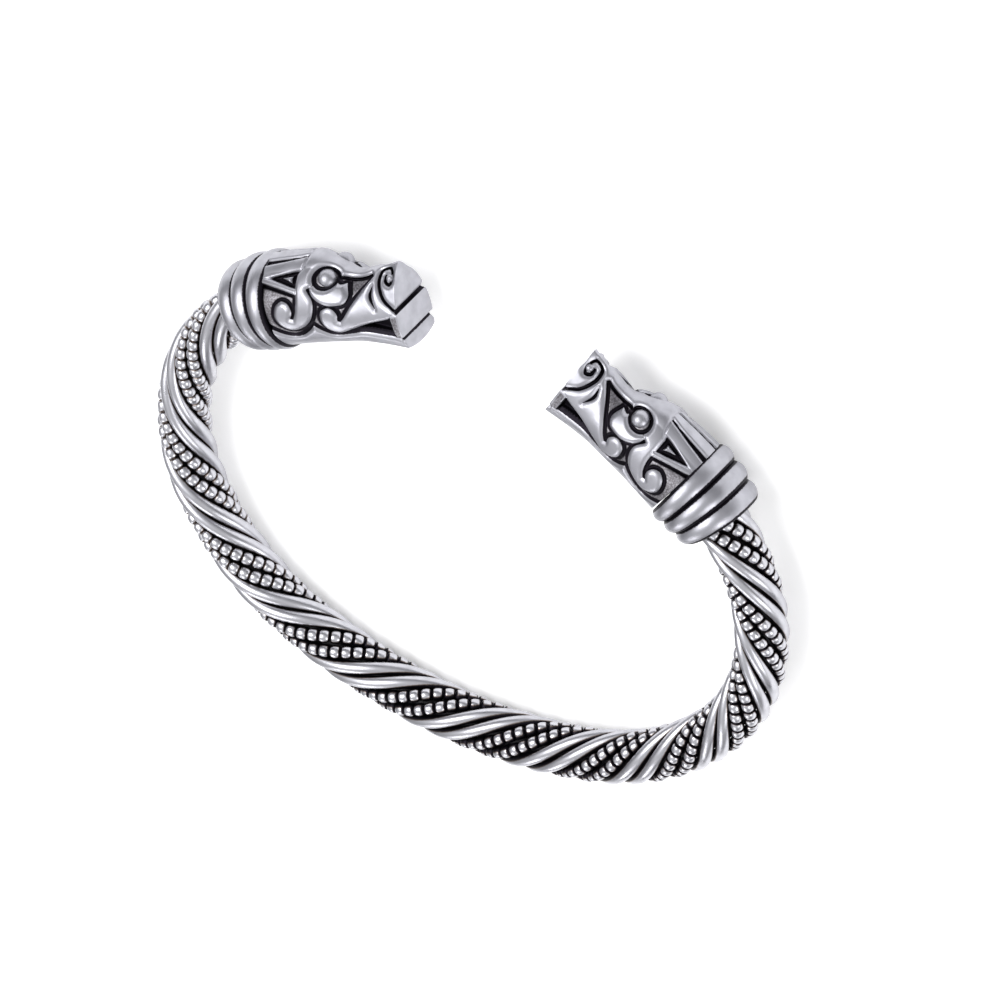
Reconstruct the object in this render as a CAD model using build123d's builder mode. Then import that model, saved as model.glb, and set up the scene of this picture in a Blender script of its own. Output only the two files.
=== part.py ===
import os
from math import cos, degrees, pi, radians, sin, tan

from build123d import *

os.makedirs("parts", exist_ok=True)

# Driving dimensions, in millimetres and degrees
centre_arcs = [
    # radius, turn: tangent arcs from the middle of the back round to a head
    (49.0, 20.0),
    (27.5, 37.0),
    (20.3, 94.5),
]
strand_count = 8
strand_radius = 0.67
strand_circle = 2.12
lead_left = 24.7
lead_right = 22.4
first_strand_angle = -5.4
smooth_places = [0, 1, 4, 5]
beaded_places = [2, 3, 6, 7]
bead_pitch = 1.155
core_radius = 1.38
route_turn = 30.0
route_arc_share = 0.45
walk_steps = 4000
collar_rings = [
    # back from the head, outer radius
    (0.92, 5.10),
    (2.76, 5.00),
    (4.60, 4.70),
]
ring_half_width = 0.96
ring_crown = 0.6
collar_length = 5.55
collar_bore = 2.88
bore_overrun = 1.0
socket_depth = 3.0
head_direction = 24.0
seat_gap = 0.06
relief_depth = 0.5
head_sections = [
    # along, top, top_half, top_edge, side_half, side_level, jaw_half, jaw_edge, bottom
    (0.0, 5.05, 2.30, 4.10, 4.65, 0.0, 2.75, -3.75, -4.65),
    (3.0, 5.50, 2.00, 4.50, 4.40, 0.1, 2.65, -3.50, -4.20),
    (5.5, 5.65, 1.85, 4.80, 4.15, 0.2, 2.55, -3.30, -3.95),
    (7.5, 4.75, 1.55, 4.25, 3.95, 0.1, 2.50, -3.20, -3.80),
    (9.3, 3.85, 1.05, 3.45, 3.60, 0.0, 2.40, -3.15, -3.75),
    (12.0, 4.25, 0.90, 3.95, 3.10, 0.0, 2.35, -3.35, -3.90),
    (14.9, 4.95, 0.30, 4.80, 2.85, 0.3, 2.50, -3.65, -4.10),
]
relief_plates = {
    # each run is (along, up) points; two make a straight line, more a smooth curve
    "brow": [
        [(12.1, 4.0), (11.0, 3.35), (10.0, 3.05), (9.0, 3.15), (8.3, 3.5), (7.6, 4.05)],
        [(7.6, 4.05), (6.6, 4.55), (5.75, 4.5), (5.3, 3.9), (5.0, 3.2)],
        [(5.0, 3.2), (5.6, 2.2), (5.3, 0.45), (4.3, -0.7), (2.8, -1.35), (1.6, -1.0), (1.1, -0.2)],
        [(1.1, -0.2), (2.0, 0.4)],
        [(2.0, 0.4), (2.9, 0.05)],
        [(2.9, 0.05), (3.35, 0.9), (3.65, 2.1), (3.6, 3.2), (3.6, 4.3)],
        [(3.6, 4.3), (3.8, 6.5)],
        [(3.8, 6.5), (12.3, 6.5)],
        [(12.3, 6.5), (12.1, 4.0)],
    ],
    "crest_bar": [
        [(-0.5, 4.92), (2.0, 5.24), (4.4, 5.57)],
        [(4.4, 5.57), (4.4, 6.5)],
        [(4.4, 6.5), (-0.5, 6.5)],
        [(-0.5, 6.5), (-0.5, 4.92)],
    ],
    "upper_bar": [
        [(-0.5, 4.72), (1.8, 5.04), (3.9, 5.36)],
        [(3.9, 5.36), (3.9, 4.4)],
        [(3.9, 4.4), (1.6, 4.15), (-0.5, 3.75)],
        [(-0.5, 3.75), (-0.5, 4.72)],
    ],
    "lower_bar": [
        [(-0.5, 4.0), (0.7, 3.85), (3.9, 3.2)],
        [(3.9, 3.2), (3.9, 2.6)],
        [(3.9, 2.6), (1.3, 3.2), (-0.5, 3.45)],
        [(-0.5, 3.45), (-0.5, 4.0)],
    ],
    "wedge": [
        [(1.7, 4.0), (3.15, 4.2)],
        [(3.15, 4.2), (3.2, 3.65)],
        [(3.2, 3.65), (1.7, 4.0)],
    ],
    "lower_lid": [
        [(5.75, 3.4), (6.3, 2.9), (7.0, 2.75), (7.7, 2.9), (8.3, 3.4), (8.95, 3.2)],
        [(8.95, 3.2), (9.35, 2.2), (8.9, 1.5), (8.1, 1.4), (7.0, 1.55), (6.0, 2.1), (5.75, 3.4)],
    ],
    "cheek": [
        [(11.95, 3.8), (10.8, 2.65), (9.6, 1.25), (8.7, 0.2), (8.0, -0.2)],
        [(8.0, -0.2), (7.2, 0.2)],
        [(7.2, 0.2), (6.4, -0.2)],
        [(6.4, -0.2), (6.7, -1.2), (8.0, -1.75), (9.4, -1.3), (11.1, -0.8), (13.6, -0.3), (14.7, 0.2)],
        [(14.7, 0.2), (13.45, 1.3), (12.75, 2.6), (12.5, 3.6), (12.3, 4.15)],
        [(12.3, 4.15), (11.95, 3.8)],
    ],
    "nose": [
        [(15.5, 0.75), (14.2, 1.3), (13.4, 1.95), (12.95, 3.0), (12.9, 3.9), (12.8, 6.5)],
        [(12.8, 6.5), (15.5, 6.5)],
        [(15.5, 6.5), (15.5, 0.75)],
    ],
    "teeth": [
        [(14.3, 0.15), (15.5, 0.25)],
        [(15.5, 0.25), (15.5, -2.55)],
        [(15.5, -2.55), (14.35, -2.2)],
        [(14.35, -2.2), (14.3, 0.15)],
    ],
    "jaw": [
        [(-0.5, -0.9), (1.4, -2.0), (2.9, -2.2), (4.2, -1.5), (5.1, -0.7)],
        [(5.1, -0.7), (5.9, -1.6), (7.0, -2.2), (8.9, -2.0), (10.4, -1.8), (12.6, -2.3), (15.5, -3.0)],
        [(15.5, -3.0), (15.5, -6.5)],
        [(15.5, -6.5), (-0.5, -6.5)],
        [(-0.5, -6.5), (-0.5, -0.9)],
    ],
}
relief_grooves = {
    "lip_slit": [
        [(12.05, 3.05), (11.7, 2.1), (12.35, 0.85)],
        [(12.35, 0.85), (12.0, 2.1), (12.05, 3.05)],
    ],
    "nostril_curl": [
        [(12.95, 4.3), (13.9, 4.55), (14.8, 4.3), (14.98, 3.6), (14.3, 3.1), (13.7, 3.4)],
        [(13.7, 3.4), (14.3, 3.3), (14.75, 3.65), (14.6, 4.1), (13.9, 4.35), (12.95, 4.3)],
    ],
}
mouth_corner = [(14.6, 0.1), (14.7, -2.3), (12.5, -1.9), (9.8, -1.35), (13.4, -0.5)]
mouth_inner_half = 1.3
head_reach = 7.0
thin_crest = 0.15
eye_place = (6.82, 3.62)
eye_half_width = 1.65
eye_radius = 0.9
curl_radius = 0.92
rear_curl = (2.0, 1.0)
front_curl = (7.2, 0.42)
nostril_place = (14.2, 3.75)
nostril_half_width = 1.0
nostril_radius = 0.45
rest_tilt = 3.15
rest_shift = (-0.02, -25.34, 2.78)

# Worked out from the driving dimensions
head_seat = sum(radius * radians(turn) for radius, turn in centre_arcs)
band_half = head_seat - collar_length
strand_half = band_half + socket_depth
lead = 2 / (1 / lead_left + 1 / lead_right)
lead_slope = (1 / lead_right - 1 / lead_left) / (2 * band_half)
strand_step = 360.0 / strand_count


def centre_frame(s):
    """Point, heading and outward direction of the centre line, s from the back, plus to the right."""
    side = 1 if s >= 0 else -1
    rest = abs(s)
    turned, x, y = 0.0, 0.0, 0.0
    for radius, turn in centre_arcs:
        last = (radius, turn) == centre_arcs[-1]
        after = turned + (rest if last else min(rest, radius * radians(turn))) / radius
        x += radius * (sin(after) - sin(turned))
        y += radius * (cos(turned) - cos(after))
        rest -= radius * (after - turned)
        turned = after
    heading = Vector(cos(turned), side * sin(turned), 0)
    outward = Vector(side * sin(turned), -cos(turned), 0)
    return Vector(side * x, y, 0), heading, outward


def strand_point(s, place, circle):
    """A point on the line of a strand, which winds left-handed round the core."""
    point, heading, outward = centre_frame(s)
    turns = s / lead + lead_slope * s * s / 2
    angle = radians(first_strand_angle + place * strand_step) - 2 * pi * turns
    return point + outward * (circle * sin(angle)) + Vector(0, 0, circle * cos(angle))


def even_places(count):
    """Places along the centre line from one socket to the other."""
    return [-strand_half + 2 * strand_half * number / count for number in range(count + 1)]


def bead_seats(place):
    """Bead centres one pitch apart along the line of a strand, each facing along it."""
    walk = [strand_point(s, place, strand_circle) for s in even_places(walk_steps)]
    seats = []
    travelled = bead_pitch
    for before, after in zip(walk, walk[1:]):
        travelled += (after - before).length
        if travelled >= bead_pitch:
            seats.append(Plane(origin=after, z_dir=after - before))
            travelled -= bead_pitch
    return seats


def largest_arcs(points):
    """A radius for each corner of a route, as large as its two runs allow."""
    radii = []
    for before, corner, after in zip(points, points[1:], points[2:]):
        turn = (corner - before).get_angle(after - corner)
        run = min((corner - before).length, (after - corner).length)
        radii.append(route_arc_share * run / tan(radians(turn / 2)))
    return radii


def finish(shape, name):
    """Lay a finished piece as the ring rests, name it and write it."""
    laid = Location(rest_shift, (rest_tilt, 0, 0)) * shape
    laid.label = name
    export_step(laid, f"parts/{name}.step")
    return laid


# Core rod: round bar bent to the tangent arcs, its ends inside the collars
start, start_heading, _ = centre_frame(-strand_half)
with BuildPart() as core_rod:
    with BuildLine() as core_path:
        arc = None
        both_sides = centre_arcs[::-1] + centre_arcs
        for number, (radius, turn) in enumerate(both_sides):
            at_end = number in (0, len(both_sides) - 1)
            cut = degrees((collar_length - socket_depth) / radius) if at_end else 0
            place = start if arc is None else arc @ 1
            tangent = start_heading if arc is None else arc % 1
            arc = JernArc(place, tangent, radius, turn - cut)
    with BuildSketch(Plane(origin=start, z_dir=start_heading)):
        Circle(core_radius)
    sweep()
pieces = [finish(core_rod.part, "core_rod")]

# Smooth strands: round wire along straight runs and tangent arcs close to the helix
route_count = round(2 * strand_half / (lead * route_turn / 360))
route_circle = strand_circle / cos(radians(route_turn / 2)) * cos(radians(route_turn / 4)) ** 2
for number, place in enumerate(smooth_places, 1):
    points = [strand_point(s, place, route_circle) for s in even_places(route_count)]
    with BuildPart() as smooth_strand:
        with BuildLine() as route:
            FilletPolyline(*points, radius=largest_arcs(points))
        with BuildSketch(Plane(origin=route.line @ 0, z_dir=route.line % 0)):
            Circle(strand_radius)
        sweep()
    pieces.append(finish(smooth_strand.part, f"smooth_strand_{number}"))

# Beaded strands: round beads run together into one wire
for number, place in enumerate(beaded_places, 1):
    with BuildPart() as beaded_strand:
        with Locations(*bead_seats(place)):
            Sphere(strand_radius)
    pieces.append(finish(beaded_strand.part, f"beaded_strand_{number}"))

# Collar: three rounded rings in one casting, bored along the centre line for the strands
bore_start, bore_heading, _ = centre_frame(band_half - bore_overrun)
with BuildPart() as collar:
    for back, radius in collar_rings:
        middle, heading, outward = centre_frame(head_seat - back)
        with BuildSketch(Plane(origin=middle, x_dir=outward, z_dir=(0, 0, -1))):
            with BuildLine():
                shoulder = radius - ring_crown
                Polyline(
                    (shoulder, -ring_half_width),
                    (0, -ring_half_width),
                    (0, ring_half_width),
                    (shoulder, ring_half_width),
                )
                ThreePointArc((shoulder, ring_half_width), (radius, 0), (shoulder, -ring_half_width))
            make_face()
        revolve(axis=Axis(middle, heading))
    with BuildLine() as bore_path:
        end_radius = centre_arcs[-1][0]
        bore_turn = degrees((collar_length + 2 * bore_overrun) / end_radius)
        JernArc(bore_start, bore_heading, end_radius, bore_turn)
    with BuildSketch(Plane(origin=bore_start, z_dir=bore_heading)):
        Circle(collar_bore)
    sweep(path=bore_path.line, mode=Mode.SUBTRACT)
pieces.append(finish(collar.part, "collar_right"))
pieces.append(finish(mirror(collar.part, about=Plane.YZ), "collar_left"))

# Head: directions of its own length and height
ring_middle, seat_heading, _ = centre_frame(head_seat - collar_rings[0][0])
seat = ring_middle + seat_heading * (ring_half_width + seat_gap)
along = Vector(-cos(radians(head_direction)), sin(radians(head_direction)), 0)
upward = Vector(sin(radians(head_direction)), cos(radians(head_direction)), 0)
side_plane = Plane(origin=seat, x_dir=along, z_dir=(0, 0, -1))


def head_skin(inset):
    """The head's form lofted through its sections, all round smaller by the inset."""
    with BuildPart() as skin:
        for row in head_sections:
            run, top, top_half, top_edge, side_half, side_level, jaw_half, jaw_edge, bottom = row
            at_seat = row == head_sections[0]
            at_nose = row == head_sections[-1]
            facing = seat_heading if at_seat else along
            middle = seat + along * (run - inset if at_nose else run)
            crest = (max(top_half - inset, thin_crest), top_edge - inset)
            cheek = (side_half - inset, side_level)
            jaw = (jaw_half - inset, jaw_edge + inset)
            with BuildSketch(Plane(origin=middle, x_dir=(0, 0, 1), z_dir=facing)):
                with BuildLine():
                    ThreePointArc((-crest[0], crest[1]), (0, top - inset), crest)
                    ThreePointArc(crest, cheek, jaw)
                    ThreePointArc(jaw, (0, bottom + inset), (-jaw[0], jaw[1]))
                    ThreePointArc((-jaw[0], jaw[1]), (-cheek[0], cheek[1]), (-crest[0], crest[1]))
                make_face()
        loft()
    return skin.part


# Raised relief: flat shapes seen from the side, carried in to the head's outer skin
with BuildSketch(side_plane) as relief:
    for outlines, mode in ((relief_plates, Mode.ADD), (relief_grooves, Mode.SUBTRACT)):
        for runs in outlines.values():
            with BuildLine():
                for run in runs:
                    if len(run) == 2:
                        Line(*run)
                    else:
                        Spline(*run)
            make_face(mode=mode)
        if mode == Mode.ADD:
            with Locations(rear_curl, front_curl):
                Circle(curl_radius)

with BuildPart() as raised:
    add(relief.sketch)
    extrude(amount=head_reach, both=True)
    add(head_skin(0), mode=Mode.INTERSECT)

# Head: the recessed body, the relief on it, open mouth corners, eyes and nostrils
with BuildPart() as head:
    add(head_skin(relief_depth))
    with BuildSketch(side_plane.offset(mouth_inner_half)):
        Polygon(*mouth_corner, align=None)
    extrude(amount=head_reach, mode=Mode.SUBTRACT)
    with BuildSketch(side_plane.offset(-mouth_inner_half)):
        Polygon(*mouth_corner, align=None)
    extrude(amount=-head_reach, mode=Mode.SUBTRACT)
    add(raised.part)
    for place, half_width, radius in ((eye_place, eye_half_width, eye_radius),
                                      (nostril_place, nostril_half_width, nostril_radius)):
        ball = seat + along * place[0] + upward * place[1]
        with Locations(ball + Vector(0, 0, half_width), ball - Vector(0, 0, half_width)):
            Sphere(radius)
pieces.append(finish(head.part, "head_right"))
pieces.append(finish(mirror(head.part, about=Plane.YZ), "head_left"))

for piece in pieces:
    print(piece.label, round(piece.volume, 2), piece.is_valid)
whole = Compound(children=pieces).bounding_box()
print("lowest", whole.min, "highest", whole.max)
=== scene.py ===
from math import asin, atan2, cos, pi, radians, sin

import bmesh
import bpy
import numpy as np
from mathutils import Matrix, Vector


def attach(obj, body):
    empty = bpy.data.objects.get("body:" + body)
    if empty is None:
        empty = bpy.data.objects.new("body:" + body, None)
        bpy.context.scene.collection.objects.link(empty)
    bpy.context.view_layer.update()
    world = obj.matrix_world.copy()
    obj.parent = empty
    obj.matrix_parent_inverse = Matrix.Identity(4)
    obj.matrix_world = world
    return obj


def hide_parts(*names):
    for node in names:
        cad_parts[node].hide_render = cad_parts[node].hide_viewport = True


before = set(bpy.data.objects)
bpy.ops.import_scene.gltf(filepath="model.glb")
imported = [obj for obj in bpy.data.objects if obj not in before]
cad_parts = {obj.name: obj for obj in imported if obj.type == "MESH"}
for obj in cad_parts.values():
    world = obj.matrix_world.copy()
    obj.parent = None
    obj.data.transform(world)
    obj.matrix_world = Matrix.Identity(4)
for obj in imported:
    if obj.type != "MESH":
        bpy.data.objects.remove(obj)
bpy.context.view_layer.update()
scene = bpy.context.scene

# Everything on the ring is worked out in millimetres with the ring flat, then laid as it rests.
ring = {
    "centreArcs": [(49.0, 20.0), (27.5, 37.0), (20.3, 94.5)],
    "restTilt": 3.15,
    "restShift": (-0.02, -25.34, 2.78),
}
layRing = (
    Matrix.Scale(0.001, 4)
    @ Matrix.Translation(ring["restShift"])
    @ Matrix.Rotation(radians(ring["restTilt"]), 4, "X")
)
mirrorRing = Matrix.Scale(-1, 4, (1, 0, 0))
mergeReach = 0.0005
headSeat = sum(radius * radians(turn) for radius, turn in ring["centreArcs"])


def centreFrame(s):
    side = 1 if s >= 0 else -1
    rest = abs(s)
    turned, x, y = 0.0, 0.0, 0.0
    for radius, turn in ring["centreArcs"]:
        last = (radius, turn) == ring["centreArcs"][-1]
        after = turned + (rest if last else min(rest, radius * radians(turn))) / radius
        x += radius * (sin(after) - sin(turned))
        y += radius * (cos(turned) - cos(after))
        rest -= radius * (after - turned)
        turned = after
    heading = Vector((cos(turned), side * sin(turned), 0))
    outward = Vector((side * sin(turned), -cos(turned), 0))
    return Vector((side * x, y, 0)), heading, outward


def smooth(low, high, value):
    t = np.clip((np.asarray(value, float) - low) / (high - low), 0, 1)
    return t * t * (3 - 2 * t)


# Antiqued silver: each piece carries a tarnish attribute from 0, clean, to 1, black

silver = {
    "dullShare": 0.62,
    "tarnished": (0.016, 0.014, 0.019, 1),
    "tarnishedRoughness": 0.5,
    "blotchSize": 900,
    "grainSize": 5200,
    # how much of the blotch noise darkens the silver, and how far
    "wornFromTo": (0.35, 0.70),
    "wornMost": 0.28,
    "roughFromTo": (0.3, 0.7),
    "roughSpread": 0.14,
    # the film starts before the black and is full soon after it starts
    "filmBefore": 0.06,
    "filmAfter": 0.08,
    "waveHeight": 0.00008,
}


def makeSilver(
    name, bright, film, polished, tarnishFrom=0.42, tarnishTo=0.60, streak=0.10, bump=0.10
):
    # Polished silver that goes through a thin film to black where the tarnish attribute is high
    mat = bpy.data.materials.new(name)
    mat.use_nodes = True
    nodes, links = mat.node_tree.nodes, mat.node_tree.links
    shader = nodes["Principled BSDF"]
    place = nodes.new("ShaderNodeTexCoord")
    tarnish = nodes.new("ShaderNodeAttribute")
    tarnish.attribute_name = "tarnish"

    blotch = nodes.new("ShaderNodeTexNoise")
    blotch.inputs["Scale"].default_value = silver["blotchSize"]
    blotch.inputs["Detail"].default_value = 3
    grain = nodes.new("ShaderNodeTexNoise")
    grain.inputs["Scale"].default_value = silver["grainSize"]
    grain.inputs["Detail"].default_value = 2
    for texture in (blotch, grain):
        links.new(place.outputs["Object"], texture.inputs["Vector"])

    # the edge of the black wanders a little with the grain
    wander = nodes.new("ShaderNodeMath")
    wander.operation = "MULTIPLY_ADD"
    wander.inputs[1].default_value = streak
    links.new(grain.outputs["Fac"], wander.inputs[0])
    links.new(tarnish.outputs["Fac"], wander.inputs[2])
    edge = nodes.new("ShaderNodeMapRange")
    edge.interpolation_type = "SMOOTHSTEP"
    edge.inputs["From Min"].default_value = tarnishFrom + streak / 2
    edge.inputs["From Max"].default_value = tarnishTo + streak / 2
    links.new(wander.outputs["Value"], edge.inputs["Value"])

    # silver is a little darker and greyer in its worn blotches
    worn = nodes.new("ShaderNodeMapRange")
    worn.inputs["From Min"].default_value = silver["wornFromTo"][0]
    worn.inputs["From Max"].default_value = silver["wornFromTo"][1]
    worn.inputs["To Max"].default_value = silver["wornMost"]
    links.new(blotch.outputs["Fac"], worn.inputs["Value"])
    dull = nodes.new("ShaderNodeMix")
    dull.data_type = "RGBA"
    dull.inputs["A"].default_value = (*bright, 1)
    dull.inputs["B"].default_value = (*[channel * silver["dullShare"] for channel in bright], 1)
    links.new(worn.outputs["Result"], dull.inputs["Factor"])

    # a thin film of tarnish, brown or grey, comes before the black
    filmEdge = nodes.new("ShaderNodeMapRange")
    filmEdge.interpolation_type = "SMOOTHSTEP"
    filmEdge.inputs["From Min"].default_value = tarnishFrom - silver["filmBefore"] + streak / 2
    filmEdge.inputs["From Max"].default_value = tarnishFrom + silver["filmAfter"] + streak / 2
    links.new(wander.outputs["Value"], filmEdge.inputs["Value"])
    filmed = nodes.new("ShaderNodeMix")
    filmed.data_type = "RGBA"
    filmed.inputs["B"].default_value = (*film, 1)
    links.new(filmEdge.outputs["Result"], filmed.inputs["Factor"])
    links.new(dull.outputs["Result"], filmed.inputs["A"])
    colour = nodes.new("ShaderNodeMix")
    colour.data_type = "RGBA"
    colour.inputs["B"].default_value = silver["tarnished"]
    links.new(edge.outputs["Result"], colour.inputs["Factor"])
    links.new(filmed.outputs["Result"], colour.inputs["A"])
    links.new(colour.outputs["Result"], shader.inputs["Base Color"])

    shader.inputs["Metallic"].default_value = 1.0
    polish = nodes.new("ShaderNodeMapRange")
    polish.inputs["From Min"].default_value = silver["roughFromTo"][0]
    polish.inputs["From Max"].default_value = silver["roughFromTo"][1]
    polish.inputs["To Min"].default_value = polished
    polish.inputs["To Max"].default_value = polished + silver["roughSpread"]
    links.new(blotch.outputs["Fac"], polish.inputs["Value"])
    rough = nodes.new("ShaderNodeMix")
    rough.inputs["B"].default_value = silver["tarnishedRoughness"]
    links.new(edge.outputs["Result"], rough.inputs["Factor"])
    links.new(polish.outputs["Result"], rough.inputs["A"])
    links.new(rough.outputs["Result"], shader.inputs["Roughness"])

    waves = nodes.new("ShaderNodeBump")
    waves.inputs["Strength"].default_value = bump
    waves.inputs["Distance"].default_value = silver["waveHeight"]
    links.new(blotch.outputs["Fac"], waves.inputs["Height"])
    links.new(waves.outputs["Normal"], shader.inputs["Normal"])
    return mat


brownFilm, greyFilm = (0.22, 0.175, 0.150), (0.215, 0.205, 0.220)
wireSilver = makeSilver("wire_silver", (0.53, 0.53, 0.57), brownFilm, 0.27, bump=0.06)
beadSilver = makeSilver("bead_silver", (0.56, 0.56, 0.60), brownFilm, 0.25, streak=0.16, bump=0.25)
castSilver = makeSilver("cast_silver", (0.42, 0.42, 0.46), greyFilm, 0.36, streak=0.22, bump=0.16)
collarSilver = makeSilver(
    "collar_silver", (0.42, 0.42, 0.46), greyFilm, 0.34, streak=0.45, bump=0.30
)
print("silver ready")


def finishPiece(bm, name, material, replaced, mirrored=False):
    # Lays the mesh as the ring rests and hands it over to the frame
    if mirrored:
        bmesh.ops.transform(bm, matrix=mirrorRing, verts=bm.verts)
    bmesh.ops.transform(bm, matrix=layRing, verts=bm.verts)
    bmesh.ops.recalc_face_normals(bm, faces=bm.faces)
    mesh = bpy.data.meshes.new(name)
    bm.to_mesh(mesh)
    bm.free()
    mesh.shade_smooth()
    mesh.materials.append(material)
    piece = bpy.data.objects.new(name, mesh)
    scene.collection.objects.link(piece)
    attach(piece, "root")
    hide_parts(replaced)
    print(name, len(mesh.polygons), "faces")


def growTube(bm, rings, segments):
    # A tube through a row of rings; each is a matrix, with its radius in it, and a shading rule
    layer = bm.verts.layers.float.new("tarnish")
    last = len(rings) - 1
    bmesh.ops.create_grid(bm, x_segments=segments, y_segments=last, size=1)
    for vert in bm.verts:
        turn = pi * (vert.co.x + 1)
        matrix, shade = rings[round((vert.co.y + 1) / 2 * last)]
        vert.co = matrix @ Vector((cos(turn), sin(turn), 0))
        vert[layer] = shade(vert.co)
    bmesh.ops.remove_doubles(bm, verts=bm.verts, dist=mergeReach)


# Strands, wound left-handed round the core

strands = {
    "places": 8,
    "circle": 2.12,
    "firstAngle": -5.4,
    "leadLeft": 24.7,
    "leadRight": 22.4,
    "collarLength": 5.55,
    "socketDepth": 3.0,
    "smoothPlaces": [0, 1, 4, 5],
    "beadedPlaces": [2, 3, 6, 7],
    "smoothRadius": 0.67,
    "smoothStep": 0.42,
    "smoothSegments": 28,
    "beadPitch": 1.155,
    "beadSegments": 18,
    "walkSteps": 2400,
    "headingStep": 0.02,
    "neckFromTo": (0.19, 0.45),
    # along the centre line, how far the tarnish is thinned: most near the heads and along the left
    # arm, least near the middle
    "tarnishThinning": [
        (-68, 1.0), (-24, 0.9), (-9, 0.3), (8, 0.05), (26, 0.35), (42, 0.6), (60, 0.65), (66, 1.0),
    ],
    # height on a wire or bead, in radii, below which it is black, and how far the thinning lowers
    # that
    "wireBlackBelow": (0.60, 0.46),
    "beadBlackBelow": (0.66, 0.50),
    "blackEdge": 0.9,
    # how far the thinning pales the black itself, and that of the beads' necks
    "thinningPalesBlack": 0.46,
    "thinningPalesNeck": 0.52,
    # along in pitches, radius
    "beadProfile": [
        (-0.50, 0.30), (-0.465, 0.42), (-0.41, 0.535), (-0.31, 0.615), (-0.17, 0.66),
        (0.0, 0.67), (0.17, 0.66), (0.31, 0.615), (0.41, 0.535), (0.465, 0.42),
    ],
}
bandHalf = headSeat - strands["collarLength"]
strandHalf = bandHalf + strands["socketDepth"]
lead = 2 / (1 / strands["leadLeft"] + 1 / strands["leadRight"])
leadSlope = (1 / strands["leadRight"] - 1 / strands["leadLeft"]) / (2 * bandHalf)


def strandPoint(s, place):
    point, _, outward = centreFrame(s)
    turns = s / lead + leadSlope * s * s / 2
    angle = radians(strands["firstAngle"] + place * 360 / strands["places"]) - 2 * pi * turns
    radial = outward * sin(angle) + Vector((0, 0, cos(angle)))
    return point + radial * strands["circle"], radial


def strandWalk(place):
    # Length along a strand for each step along the centre line
    steps = np.linspace(-strandHalf, strandHalf, strands["walkSteps"] + 1)
    points = np.array([strandPoint(s, place)[0] for s in steps])
    run = np.concatenate([[0], np.cumsum(np.linalg.norm(np.diff(points, axis=0), axis=1))])
    return steps, run


def strandMatrix(s, place, radius):
    # Ring of a strand: X away from the core, Z along the strand
    point, radial = strandPoint(s, place)
    step = strands["headingStep"]
    along = (strandPoint(s + step, place)[0] - strandPoint(s - step, place)[0]).normalized()
    outward = (radial - along * radial.dot(along)).normalized()
    across = along.cross(outward)
    turn = Matrix((outward, across, along)).transposed().to_4x4()
    return Matrix.Translation(point) @ turn @ Matrix.Scale(radius, 4), point, outward


def thinnedLevels(s, blackBelow):
    # How far the tarnish is thinned at s, the height it starts at and how black it gets
    tarnishThinning = np.interp(s, *zip(*strands["tarnishThinning"]))
    return tarnishThinning, blackBelow[0] - blackBelow[1] * tarnishThinning, 1 - strands["thinningPalesBlack"] * tarnishThinning


def smoothShade(s, point, outward, radius):
    # Round wire is black where it turns in towards its neighbours
    _, level, most = thinnedLevels(s, strands["wireBlackBelow"])
    steep = strands["blackEdge"]
    return lambda co: min(0.5 - steep * ((co - point).dot(outward) / radius - level), most)


def beadShade(s, point, outward, offset):
    # A bead is black round its neck and low on its sides
    tarnishThinning, level, most = thinnedLevels(s, strands["beadBlackBelow"])
    neck = float(smooth(*strands["neckFromTo"], abs(offset)))
    neck *= 1 - strands["thinningPalesNeck"] * tarnishThinning
    full, steep = strands["smoothRadius"], strands["blackEdge"]
    return lambda co: min(max(0.5 - steep * ((co - point).dot(outward) / full - level), neck), most)


for number, place in enumerate(strands["smoothPlaces"], 1):
    steps, run = strandWalk(place)
    count = round(run[-1] / strands["smoothStep"])
    rings = []
    for length in np.linspace(0, run[-1], count + 1):
        s = float(np.interp(length, run, steps))
        matrix, point, outward = strandMatrix(s, place, strands["smoothRadius"])
        rings.append((matrix, smoothShade(s, point, outward, strands["smoothRadius"])))
    bm = bmesh.new()
    growTube(bm, rings, strands["smoothSegments"])
    bmesh.ops.holes_fill(bm, edges=[edge for edge in bm.edges if edge.is_boundary])
    name = f"smooth_strand_{number}"
    finishPiece(bm, name + "_wire", wireSilver, name)

for number, place in enumerate(strands["beadedPlaces"], 1):
    steps, run = strandWalk(place)
    count = int(run[-1] / strands["beadPitch"]) + 1
    rings = []
    for bead in range(count):
        profile = list(strands["beadProfile"])
        if bead == count - 1:
            profile.append((0.5, strands["beadProfile"][0][1]))
        for offset, radius in profile:
            length = (bead + offset) * strands["beadPitch"]
            s = float(np.interp(length, run, steps))
            if length < 0 or length > run[-1]:
                continue
            matrix, point, outward = strandMatrix(s, place, radius)
            rings.append((matrix, beadShade(s, point, outward, offset)))
    bm = bmesh.new()
    growTube(bm, rings, strands["beadSegments"])
    bmesh.ops.holes_fill(bm, edges=[edge for edge in bm.edges if edge.is_boundary])
    name = f"beaded_strand_{number}"
    finishPiece(bm, name + "_beads", beadSilver, name)

# Collars

collars = {
    # back from the head, outer radius
    "rings": [(0.92, 5.10), (2.76, 5.00), (4.60, 4.70)],
    "halfWidth": 0.92,
    "crown": 0.44,
    "grooveDepth": 0.66,
    "bore": 2.88,
    "segments": 144,
    "arcPoints": 13,
    "blackFromTo": (0.16, 0.80),
    "boreGap": 0.02,
    "frontEdge": 0.25,
    "rearEdge": 0.12,
    "rearLip": 0.3,
    # the rings waver round the band: how far, then waves round, share and start of each
    "waver": 0.05,
    "waverBeyondBore": 0.5,
    "waves": [(3, 1.0, 0.8), (5, 0.7, 2.1)],
}


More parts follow.
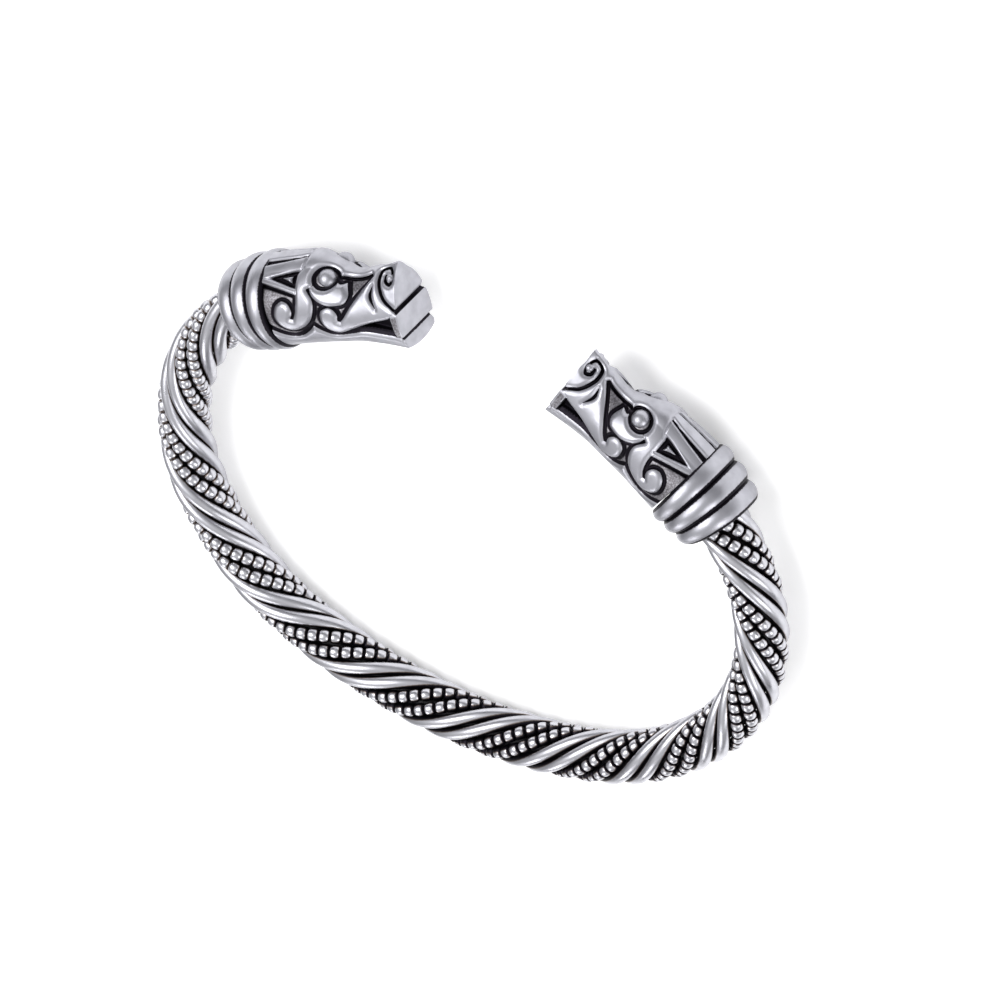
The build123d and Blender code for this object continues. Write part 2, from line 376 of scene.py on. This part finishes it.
def collarProfile():
    # back, radius, tarnish along the outside, from the head's side to the band's
    rows = []
    reach = collars["halfWidth"]
    for number, (back, radius) in enumerate(collars["rings"]):
        bend = (reach**2 + collars["crown"] ** 2) / (2 * collars["crown"])
        edge = asin(min(1, reach / bend))
        for turn in np.linspace(-edge, edge, collars["arcPoints"]):
            sink = bend * (1 - cos(turn))
            shade = float(smooth(*collars["blackFromTo"], sink / collars["crown"]))
            rows.append((back + bend * sin(turn), radius - sink, shade))
        if number < len(collars["rings"]) - 1:
            rows.append((back + reach, radius - collars["grooveDepth"], 1.0))
    return rows


for side in ("right", "left"):
    outside = collarProfile()
    front, frontRadius, _ = outside[0]
    rear, rearRadius, _ = outside[-1]
    inner = collars["bore"] + collars["boreGap"]
    profile = [(front, inner, 1.0), (front, frontRadius - collars["frontEdge"], 0.9)] + outside
    profile += [
        (rear, rearRadius - collars["rearEdge"], 0.5),
        (rear, inner + collars["rearLip"], 1.0),
        (rear, inner, 1.0),
    ]
    rings = []
    for back, radius, shade in profile:
        point, _, outward = centreFrame(headSeat - back)
        turn = Matrix((outward, Vector((0, 0, 1)), outward.cross(Vector((0, 0, 1))))).transposed()
        matrix = Matrix.Translation(point) @ turn.to_4x4() @ Matrix.Scale(radius, 4)
        rings.append((matrix, lambda co, shade=shade: shade))
    bm = bmesh.new()
    growTube(bm, rings, collars["segments"])
    bmesh.ops.bridge_loops(bm, edges=[edge for edge in bm.edges if edge.is_boundary])
    # the casting's rings waver a little round the band
    point, heading, outward = centreFrame(headSeat - collars["rings"][1][0])
    for vert in bm.verts:
        arm = vert.co - point
        if arm.length < collars["bore"] + collars["waverBeyondBore"]:
            continue
        around = atan2(arm.z, arm.dot(outward))
        waver = sum(share * sin(count * around + begin) for count, share, begin in collars["waves"])
        vert.co += heading * (0.5 * collars["waver"] * waver)
    name = f"collar_{side}"
    finishPiece(bm, name + "_rings", collarSilver, name, side == "left")

# Heads

head = {
    "direction": 24.0,
    "seatGap": 0.06,
    "ringHalfWidth": 0.96,
    "firstRingBack": 0.92,
    "depth": 0.5,
    "rows": 250,
    "faceRows": 52,
    "crestColumns": 24,
    "sideColumns": 106,
    "chinColumns": 20,
    "wall": 0.09,
    "thinCrest": 0.15,
    "length": 14.9,
    # the side's rows end where the rim to the nose face starts: along and how far shrunk
    "sideEnd": 14.80,
    "rim": [(14.86, 0.999), (14.895, 0.993)],
    "backShrink": [0.0, 0.5, 0.8, 0.97],
    "faceShrink": 0.985,
    "shrinkLevel": 0.3,
    "leanEnd": 3.0,
    "sinkFaceFrom": 13.9,
    # wide open ground between the plates: how far from them, its height and how much less black
    "openFromTo": (0.16, 0.46),
    "openHeight": 0.35,
    "openThins": 0.53,
    "tarnishFromTo": (-0.03, 0.09),
    "mouthFromTo": (-0.02, 0.12),
    "teethFromTo": (0, 0.12),
    "teethTarnish": 0.46,
    # along, top, top half, top edge, side half, side level, jaw half, jaw edge, bottom
    "sections": [
        (0.0, 5.05, 2.30, 4.10, 4.65, 0.0, 2.75, -3.75, -4.65),
        (3.0, 5.50, 2.00, 4.50, 4.40, 0.1, 2.65, -3.50, -4.20),
        (5.5, 5.65, 1.85, 4.80, 4.15, 0.2, 2.55, -3.30, -3.95),
        (7.5, 4.75, 1.55, 4.25, 3.95, 0.1, 2.50, -3.20, -3.80),
        (9.3, 3.85, 1.05, 3.45, 3.60, 0.0, 2.40, -3.15, -3.75),
        (12.0, 4.25, 0.90, 3.95, 3.10, 0.0, 2.35, -3.35, -3.90),
        (14.9, 4.95, 0.30, 4.80, 2.85, 0.3, 2.50, -3.65, -4.10),
    ],
    # balls of the eyes and nostrils: along, up, sideways, radius
    "eye": (6.85, 3.56, 1.68, 1.00),
    "nostril": (14.10, 3.55, 1.02, 0.42),
    "ballSegments": (36, 24),
    "mouth": [(14.0, 0.0), (14.1, -2.35), (12.5, -1.9), (9.8, -1.35), (13.4, -0.5)],
    "mouthInner": 1.8,
    "teethSide": [(14.0, 0.05), (14.8, 0.25), (14.8, -2.4), (14.0, -2.4)],
}

# Raised parts as seen from the side: how far in the edge rounds over, how much, and runs of
# (along, up) points; two points make a straight line, more make a curve
plates = {
    "brow": (0.55, 0.50, [
        [(12.1, 4.2), (11.2, 3.75), (10.2, 3.5), (9.3, 3.5), (8.4, 3.8), (7.6, 4.0)],
        [(7.6, 4.0), (6.8, 4.1), (6.0, 3.8), (5.4, 3.4), (4.95, 3.2)],
        [
            (4.95, 3.2), (5.65, 2.0), (5.3, 0.45), (4.3, -0.7), (2.7, -1.35), (1.5, -0.85),
            (0.9, 0.3), (1.15, 1.5), (1.9, 2.05), (2.65, 1.85), (3.0, 1.2), (2.95, 0.6), (2.7, 0.2),
        ],
        [(2.7, 0.2), (3.0, 0.1)],
        [(3.0, 0.1), (3.4, 0.9), (3.65, 2.1), (3.6, 3.2), (3.6, 4.3)],
        [(3.6, 4.3), (4.3, 5.6), (4.7, 9.0)],
        [(4.7, 9.0), (13.4, 9.0)],
        [(13.4, 9.0), (13.2, 4.7)],
        [(13.2, 4.7), (12.1, 4.2)],
    ]),
    "crestBar": (0.30, 0.45, [
        [(-1.5, 5.60), (0.5, 5.80), (3.0, 6.05), (4.7, 6.45)],
        [(4.7, 6.45), (5.2, 9.0)],
        [(5.2, 9.0), (-1.5, 9.0)],
        [(-1.5, 9.0), (-1.5, 5.60)],
    ]),
    "upperBar": (0.26, 0.5, [
        [(-1.5, 4.95), (0.0, 5.30), (2.0, 5.65), (4.6, 6.25)],
        [(4.6, 6.25), (4.2, 4.6)],
        [(4.2, 4.6), (1.6, 4.15), (-1.5, 3.5)],
        [(-1.5, 3.5), (-1.5, 4.95)],
    ]),
    "lowerBar": (0.26, 0.5, [
        [(-1.5, 4.0), (0.7, 3.85), (3.9, 3.2)],
        [(3.9, 3.2), (3.9, 2.6)],
        [(3.9, 2.6), (1.3, 3.2), (-1.5, 3.6)],
        [(-1.5, 3.6), (-1.5, 4.0)],
    ]),
    "wedge": (0.25, 0.6, [
        [(1.7, 4.0), (3.15, 4.2)],
        [(3.15, 4.2), (3.2, 3.65)],
        [(3.2, 3.65), (1.7, 4.0)],
    ]),
    "lowerLid": (0.55, 0.55, [
        [(5.2, 3.5), (6.8, 3.6), (7.9, 3.6), (8.35, 3.3), (9.0, 3.25)],
        [
            (9.0, 3.25), (9.35, 2.2), (8.9, 1.5), (8.1, 1.4), (7.0, 1.55), (6.0, 2.1),
            (5.45, 2.75), (5.2, 3.5),
        ],
    ]),
    "cheek": (0.50, 0.45, [
        [(11.95, 3.8), (10.8, 2.65), (9.6, 1.25), (8.8, 0.2), (8.3, -0.3)],
        [(8.3, -0.3), (8.05, -0.15)],
        [
            (8.05, -0.15), (8.15, 0.5), (7.75, 1.15), (7.1, 1.35), (6.4, 1.0), (6.15, 0.2),
            (6.3, -0.8), (6.95, -1.5), (8.0, -1.75), (9.4, -1.3), (11.1, -0.8), (13.6, -0.3),
            (14.7, 0.2),
        ],
        [(14.7, 0.2), (16.5, 0.5)],
        [(16.5, 0.5), (16.5, 9.0)],
        [(16.5, 9.0), (11.0, 9.0)],
        [(11.0, 9.0), (11.1, 4.7)],
        [(11.1, 4.7), (11.95, 3.8)],
    ]),
    "teeth": (0.20, 0.25, [
        [(13.9, 0.3), (16.5, 0.6)],
        [(16.5, 0.6), (16.5, -2.6)],
        [(16.5, -2.6), (13.9, -2.4)],
        [(13.9, -2.4), (13.9, 0.3)],
    ]),
    "jaw": (0.45, 0.45, [
        [(-1.5, 0.2), (1.4, -2.0), (2.9, -2.2), (4.2, -1.5), (5.1, -0.7)],
        [
            (5.1, -0.7), (5.9, -1.6), (7.0, -2.2), (8.9, -2.0), (10.4, -1.8), (12.6, -2.25),
            (14.9, -2.6),
        ],
        [(14.9, -2.6), (16.5, -2.6)],
        [(16.5, -2.6), (16.5, -8.0)],
        [(16.5, -8.0), (-1.5, -8.0)],
        [(-1.5, -8.0), (-1.5, 0.2)],
    ]),
}
grooves = {
    "lipSlit": [
        [(12.05, 3.05), (11.7, 2.1), (12.35, 0.85)],
        [(12.35, 0.85), (12.0, 2.1), (12.05, 3.05)],
    ],
}
# lines cut into the raised parts: half the width, then the run
cutLines = {
    "nostrilScroll": (0.16, [
        (15.2, 0.55), (14.9, 0.62), (13.6, 1.55), (12.95, 2.75), (12.78, 3.6), (13.05, 4.3),
        (13.8, 4.55), (14.38, 4.3), (14.5, 3.65), (14.1, 3.2), (13.6, 3.4), (13.6, 3.85),
    ]),
    "noseFace": (0.21, [(14.95, 0.55), (17.0, 0.55)]),
    "chinFace": (0.24, [(14.95, -2.6), (17.0, -2.6)]),
}
# round hollows that the eyes lie in: along, up, radius
sockets = [(6.85, 4.04, 1.38)]


def smoothRun(points, steps=8):
    # Even curve through the points
    p = np.array(points, float)
    if len(p) == 2:
        return p[:1]
    p = np.vstack([2 * p[0] - p[1], p, 2 * p[-1] - p[-2]])
    t = np.arange(steps)[:, None] / steps
    curve = []
    for a, b, c, d in zip(p, p[1:], p[2:], p[3:]):
        curve.append(0.5 * (2 * b + (c - a) * t + (2 * a - 5 * b + 4 * c - d) * t**2
                            + (3 * b - a - 3 * c + d) * t**3))
    return np.vstack(curve)


def unroll(u, v):
    # Way round the head's side from its widest level, which stretches what lies near the crest
    u = np.clip(u, 0, head["length"])
    topHalf, topEdge, sideHalf, sideLevel, jawHalf, jawEdge = (
        tableCurve(u, column) for column in range(2, 8)
    )
    _, middle, radius = throughThree((topHalf, topEdge), (sideHalf, sideLevel), (jawHalf, jawEdge))
    inside = np.clip(v, jawEdge, topEdge)
    way = radius * (np.arcsin((inside - middle) / radius) - np.arcsin(-middle / radius))
    return way + v - inside


def outlineOf(runs):
    # An outline's points, even along its curves, unrolled like the head's side
    flat = np.vstack([smoothRun(run) for run in runs])
    return np.column_stack([flat[:, 0], unroll(flat[:, 0], flat[:, 1])])


def insideDistance(x, y, outline):
    # How far each point lies inside the outline; minus outside it
    best = np.full(x.shape, 1e9)
    inside = np.zeros(x.shape, bool)
    for (ax, ay), (bx, by) in zip(outline, np.roll(outline, -1, axis=0)):
        dx, dy = bx - ax, by - ay
        size = dx * dx + dy * dy
        if size == 0:
            continue
        t = np.clip(((x - ax) * dx + (y - ay) * dy) / size, 0, 1)
        best = np.minimum(best, (x - ax - t * dx) ** 2 + (y - ay - t * dy) ** 2)
        if dy != 0:
            inside ^= ((ay > y) != (by > y)) & (x < ax + (y - ay) * dx / dy)
    return np.where(inside, 1, -1) * np.sqrt(best)


def lineDistance(x, y, line):
    # How far each point lies from a run of points
    best = np.full(x.shape, 1e9)
    for (ax, ay), (bx, by) in zip(line, line[1:]):
        dx, dy = bx - ax, by - ay
        t = np.clip(((x - ax) * dx + (y - ay) * dy) / (dx * dx + dy * dy), 0, 1)
        best = np.minimum(best, np.hypot(x - ax - t * dx, y - ay - t * dy))
    return best


def plateHeight(distance, rounding, crown):
    rounded = 1 - crown * (1 - np.clip(distance / rounding, 0, 1)) ** 2
    wall = smooth(-head["wall"], 0, distance)
    return wall * np.where(distance > 0, rounded, 1 - crown)


def relief(x, y):
    # Height from 0, the sunk ground, to 1, the outer skin, and the tarnish that goes with it
    cut = np.full(x.shape, 1e9)
    for runs in grooves.values():
        cut = np.minimum(cut, -insideDistance(x, y, outlineOf(runs)))
    for half, run in cutLines.values():
        line = outlineOf([run, run[-1:] * 2])
        cut = np.minimum(cut, lineDistance(x, y, line) - half)
    for along, up, radius in sockets:
        cut = np.minimum(cut, np.hypot(x - along, y - float(unroll(along, up))) - radius)
    height = np.zeros(x.shape)
    nearest = np.full(x.shape, -1e9)
    for rounding, crown, runs in plates.values():
        distance = np.minimum(insideDistance(x, y, outlineOf(runs)), cut)
        height = np.maximum(height, plateHeight(distance, rounding, crown))
        nearest = np.maximum(nearest, distance)
    openGround = smooth(*head["openFromTo"], -nearest)
    height = np.maximum(height, head["openHeight"] * openGround)
    tarnish = 1 - smooth(*head["tarnishFromTo"], nearest) - head["openThins"] * openGround
    return height, np.clip(tarnish, 0, 1)


def throughThree(a, b, c):
    # Centre and radius of the circle through three points, row by row
    d = 2 * (a[0] * (b[1] - c[1]) + b[0] * (c[1] - a[1]) + c[0] * (a[1] - b[1]))
    sa, sb, sc = (p[0] ** 2 + p[1] ** 2 for p in (a, b, c))
    x = (sa * (b[1] - c[1]) + sb * (c[1] - a[1]) + sc * (a[1] - b[1])) / d
    y = (sa * (c[0] - b[0]) + sb * (a[0] - c[0]) + sc * (b[0] - a[0])) / d
    return x, y, np.hypot(a[0] - x, a[1] - y)


def arcBetween(a, b, c, count):
    # Points from a by b to c, a row for each section
    x, y, radius = throughThree(a, b, c)
    start = np.arctan2(a[1] - y, a[0] - x)
    end = np.arctan2(c[1] - y, c[0] - x)
    t = np.linspace(0, 1, count + 1)[None, :]
    angle = start[:, None] + (end - start)[:, None] * t
    x, y, radius = x[:, None], y[:, None], radius[:, None]
    return x + radius * np.cos(angle), y + radius * np.sin(angle)


def tableCurve(x, column):
    # Even curve through one column of the head's sections
    rows = np.array(head["sections"])
    xs, ys = rows[:, 0], rows[:, column]
    slopes = np.gradient(ys, xs)
    i = np.clip(np.searchsorted(xs, x) - 1, 0, len(xs) - 2)
    span = xs[i + 1] - xs[i]
    t = (x - xs[i]) / span
    return (
        (2 * t**3 - 3 * t**2 + 1) * ys[i] + (t**3 - 2 * t**2 + t) * span * slopes[i]
        + (3 * t**2 - 2 * t**3) * ys[i + 1] + (t**3 - t**2) * span * slopes[i + 1]
    )


def headSkin(run, shrink, inset):
    # Half of the head's cross sections, from the crest round one side to the chin
    top, topHalf, topEdge, sideHalf, sideLevel, jawHalf, jawEdge, bottom = (
        tableCurve(run, column) for column in range(1, 9)
    )
    topHalf = np.maximum(topHalf - inset, head["thinCrest"])
    zero = np.zeros_like(run)
    crest = (topHalf, topEdge - inset)
    cheek = (sideHalf - inset, sideLevel)
    jaw = (jawHalf - inset, jawEdge + inset)
    # the crest's arc is even about the middle, so its own mirror point closes it
    _, y, radius = throughThree((-topHalf, topEdge - inset), (zero, top - inset), crest)
    half = np.arctan2(topHalf, crest[1] - y)[:, None]
    turn = np.linspace(0, 1, head["crestColumns"] + 1)[None, :] * half
    za, va = radius[:, None] * np.sin(turn), y[:, None] + radius[:, None] * np.cos(turn)
    zb, vb = arcBetween(crest, cheek, jaw, head["sideColumns"])
    _, y, radius = throughThree((-jaw[0], jaw[1]), (zero, bottom + inset), jaw)
    half = np.arctan2(jaw[0], y - jaw[1])[:, None]
    turn = np.linspace(1, 0, head["chinColumns"] + 1)[None, :] * half
    zc, vc = radius[:, None] * np.sin(turn), y[:, None] - radius[:, None] * np.cos(turn)
    z = np.hstack([za, zb[:, 1:], zc[:, 1:]]) * shrink[:, None]
    v = np.hstack([va, vb[:, 1:], vc[:, 1:]])
    level = head["shrinkLevel"]
    return z, level + (v - level) * shrink[:, None]


def headShape():
    # Points, heights and tarnish of half a head: seat, side, rim and nose face, row by row
    side = np.linspace(0, head["sideEnd"], head["rows"])
    backIn, faceIn = head["backShrink"], np.linspace(head["faceShrink"], 0, head["faceRows"])
    rim, rimShrink = zip(*head["rim"])
    run = np.concatenate([np.zeros(len(backIn)), side, rim, np.full(len(faceIn), head["length"])])
    shrink = np.concatenate([backIn, np.ones(len(side)), rimShrink, faceIn])

    ringMiddle, seatHeading, _ = centreFrame(headSeat - head["firstRingBack"])
    seat = ringMiddle + seatHeading * (head["ringHalfWidth"] + head["seatGap"])
    turn = radians(head["direction"])
    along = np.array([-cos(turn), sin(turn), 0])
    upward = np.array([sin(turn), cos(turn), 0])
    # sections turn from square to the seat to square to the head over its first part
    lean = atan2(-seatHeading.cross(Vector(along)).z, seatHeading.dot(Vector(along)))
    lean = lean * (1 - smooth(0, head["leanEnd"], run))[:, None]

    outerZ, outerV = headSkin(run, shrink, 0)
    sunkRun = run - head["depth"] * smooth(head["sinkFaceFrom"], head["length"], run)
    innerZ, innerV = headSkin(sunkRun, shrink, head["depth"])
    outerU = run[:, None] + outerV * np.sin(lean)
    innerU = sunkRun[:, None] + innerV * np.sin(lean)
    outerV, innerV = outerV * np.cos(lean), innerV * np.cos(lean)

    # over the crest the way round goes on along the crest's own arc
    way = unroll(outerU, outerV)
    columns = head["crestColumns"]
    steps = np.hypot(np.diff(outerZ[:, :columns + 1]), np.diff(outerV[:, :columns + 1]))
    overCrest = np.cumsum(steps[:, ::-1], axis=1)[:, ::-1]
    onSide = shrink > 0.99
    way[onSide, :columns] = (way[:, columns:columns + 1] + overCrest)[onSide]
    height, tarnish = relief(outerU, way)
    u = innerU + (outerU - innerU) * height
    v = innerV + (outerV - innerV) * height
    z = innerZ + (outerZ - innerZ) * height
    # the corner of the mouth is cut right in between the lip and the jaw
    inner = head["mouthInner"]
    inMouth = insideDistance(outerU, outerV, np.array(head["mouth"]))
    mouth = smooth(*head["mouthFromTo"], inMouth)
    z = np.where(z > inner, z + (inner - z) * mouth, z)
    # and the side of the teeth is left dull
    onTeeth = insideDistance(outerU, outerV, np.array(head["teethSide"]))
    teeth = head["teethTarnish"] * smooth(*head["teethFromTo"], onTeeth)
    tarnish = np.maximum(tarnish, np.maximum(mouth, teeth) * (outerZ > inner))
    seatPoint = np.array(seat)
    points = seatPoint + u[..., None] * along + v[..., None] * upward
    points[..., 2] += z
    return points, tarnish, seatPoint, along, upward


points, tarnish, seatPoint, along, upward = headShape()
rowCount, columnCount = tarnish.shape
print("head relief", rowCount, "by", columnCount)
for side in ("right", "left"):
    bm = bmesh.new()
    for u, v, z, radius in (head["eye"], head["nostril"]):
        for way in (1, -1):
            middle = Vector(seatPoint + u * along + v * upward) + Vector((0, 0, z * way))
            bmesh.ops.create_uvsphere(
                bm,
                u_segments=head["ballSegments"][0],
                v_segments=head["ballSegments"][1],
                radius=radius,
                matrix=Matrix.Translation(middle),
            )
    layer = bm.verts.layers.float.new("tarnish")
    grid = bmesh.ops.create_grid(bm, x_segments=columnCount - 1, y_segments=rowCount - 1, size=1)
    for vert in grid["verts"]:
        column = round((vert.co.x + 1) / 2 * (columnCount - 1))
        row = round((vert.co.y + 1) / 2 * (rowCount - 1))
        vert.co = points[row, column]
        vert[layer] = tarnish[row, column]
    half = grid["verts"]
    half += list({edge for vert in grid["verts"] for edge in vert.link_edges})
    half += list({face for vert in grid["verts"] for face in vert.link_faces})
    bmesh.ops.mirror(bm, geom=half, axis="Z", merge_dist=mergeReach)
    bmesh.ops.remove_doubles(bm, verts=bm.verts, dist=mergeReach)
    name = f"head_{side}"
    finishPiece(bm, name + "_cast", castSilver, name, side == "left")

# Core, seen only between the strands

coreLook = {
    "noiseSize": 1500,
    "darkest": (0.008, 0.007, 0.010, 1),
    "palest": (0.030, 0.028, 0.034, 1),
    "metallic": 0.3,
    "roughness": 0.55,
}
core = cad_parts["core_rod"]
core.data.materials.clear()
coreBlack = bpy.data.materials.new("core_black")
coreBlack.use_nodes = True
coreNodes, coreLinks = coreBlack.node_tree.nodes, coreBlack.node_tree.links
corePlace = coreNodes.new("ShaderNodeTexCoord")
coreNoise = coreNodes.new("ShaderNodeTexNoise")
coreNoise.inputs["Scale"].default_value = coreLook["noiseSize"]
coreRamp = coreNodes.new("ShaderNodeMix")
coreRamp.data_type = "RGBA"
coreRamp.inputs["A"].default_value = coreLook["darkest"]
coreRamp.inputs["B"].default_value = coreLook["palest"]
coreShader = coreNodes["Principled BSDF"]
coreShader.inputs["Metallic"].default_value = coreLook["metallic"]
coreShader.inputs["Roughness"].default_value = coreLook["roughness"]
coreLinks.new(corePlace.outputs["Object"], coreNoise.inputs["Vector"])
coreLinks.new(coreNoise.outputs["Fac"], coreRamp.inputs["Factor"])
coreLinks.new(coreRamp.outputs["Result"], coreShader.inputs["Base Color"])
core.data.materials.append(coreBlack)
print("core ready")

# Studio: white floor, soft lights and the camera of the photo

studio = {
    "floorSize": 6.0,
    "floorDrop": 0.00003,
    "floorColour": (0.93, 0.93, 0.93, 1),
    "floorRoughness": 0.8,
    "skyTop": (1.0, 1.0, 1.0, 1),
    "skyLow": (0.24, 0.24, 0.26, 1),
    "skyStrength": 0.72,
    "skyBlendFromTo": (0.10, 0.75),
    "floorGlow": 0.35,
    # name, place, size, watts
    "lights": [
        ("key_softbox", (-0.30, 0.25, 0.75), 0.55, 5.0),
        ("side_softbox", (0.70, -0.15, 0.40), 0.45, 2.2),
        ("front_softbox", (-0.15, -0.80, 0.45), 0.40, 1.8),
    ],
    "cameraPlace": (0.81474, 1.424597, 1.707056),
    "cameraTurn": (-33.3643, 30.308, 7.7149),
    "lens": 850.81,
    "sensor": 36,
    "clip": (0.1, 20),
}

bm = bmesh.new()
bmesh.ops.create_grid(bm, x_segments=1, y_segments=1, size=studio["floorSize"] / 2)
bmesh.ops.translate(bm, vec=(0, 0, -studio["floorDrop"]), verts=bm.verts)
floorMesh = bpy.data.meshes.new("floor")
bm.to_mesh(floorMesh)
bm.free()
floor = bpy.data.objects.new("floor", floorMesh)
scene.collection.objects.link(floor)
floorPaper = bpy.data.materials.new("floor_paper")
floorPaper.use_nodes = True
floorShader = floorPaper.node_tree.nodes["Principled BSDF"]
floorShader.inputs["Base Color"].default_value = studio["floorColour"]
floorShader.inputs["Roughness"].default_value = studio["floorRoughness"]
floorShader.inputs["Emission Color"].default_value = (1, 1, 1, 1)
floorShader.inputs["Emission Strength"].default_value = studio["floorGlow"]
floorMesh.materials.append(floorPaper)

for name, place, size, watts in studio["lights"]:
    lamp = bpy.data.lights.new(name, "AREA")
    lamp.size = size
    lamp.energy = watts
    box = bpy.data.objects.new(name, lamp)
    box.location = place
    box.rotation_euler = Vector(place).to_track_quat("Z", "Y").to_euler()
    scene.collection.objects.link(box)

world = bpy.data.worlds.new("studio")
scene.world = world
world.use_nodes = True
skyNodes, skyLinks = world.node_tree.nodes, world.node_tree.links
skyPlace = skyNodes.new("ShaderNodeTexCoord")
skySplit = skyNodes.new("ShaderNodeSeparateXYZ")
skyMix = skyNodes.new("ShaderNodeMix")
skyMix.data_type = "RGBA"
skyMix.inputs["A"].default_value = studio["skyLow"]
skyMix.inputs["B"].default_value = studio["skyTop"]
skyBlend = skyNodes.new("ShaderNodeMapRange")
skyBlend.interpolation_type = "SMOOTHSTEP"
skyBlend.inputs["From Min"].default_value = studio["skyBlendFromTo"][0]
skyBlend.inputs["From Max"].default_value = studio["skyBlendFromTo"][1]
skyLinks.new(skyPlace.outputs["Generated"], skySplit.inputs["Vector"])
skyLinks.new(skySplit.outputs["Z"], skyBlend.inputs["Value"])
skyLinks.new(skyBlend.outputs["Result"], skyMix.inputs["Factor"])
background = skyNodes["Background"]
background.inputs["Strength"].default_value = studio["skyStrength"]
skyLinks.new(skyMix.outputs["Result"], background.inputs["Color"])

cameraData = bpy.data.cameras.new("camera")
cameraData.lens = studio["lens"]
cameraData.sensor_width = studio["sensor"]
cameraData.clip_start = studio["clip"][0]
cameraData.clip_end = studio["clip"][1]
camera = bpy.data.objects.new("camera", cameraData)
camera.location = studio["cameraPlace"]
camera.rotation_euler = [radians(turn) for turn in studio["cameraTurn"]]
scene.collection.objects.link(camera)
scene.camera = camera
scene.view_settings.view_transform = "Standard"
print("studio ready")
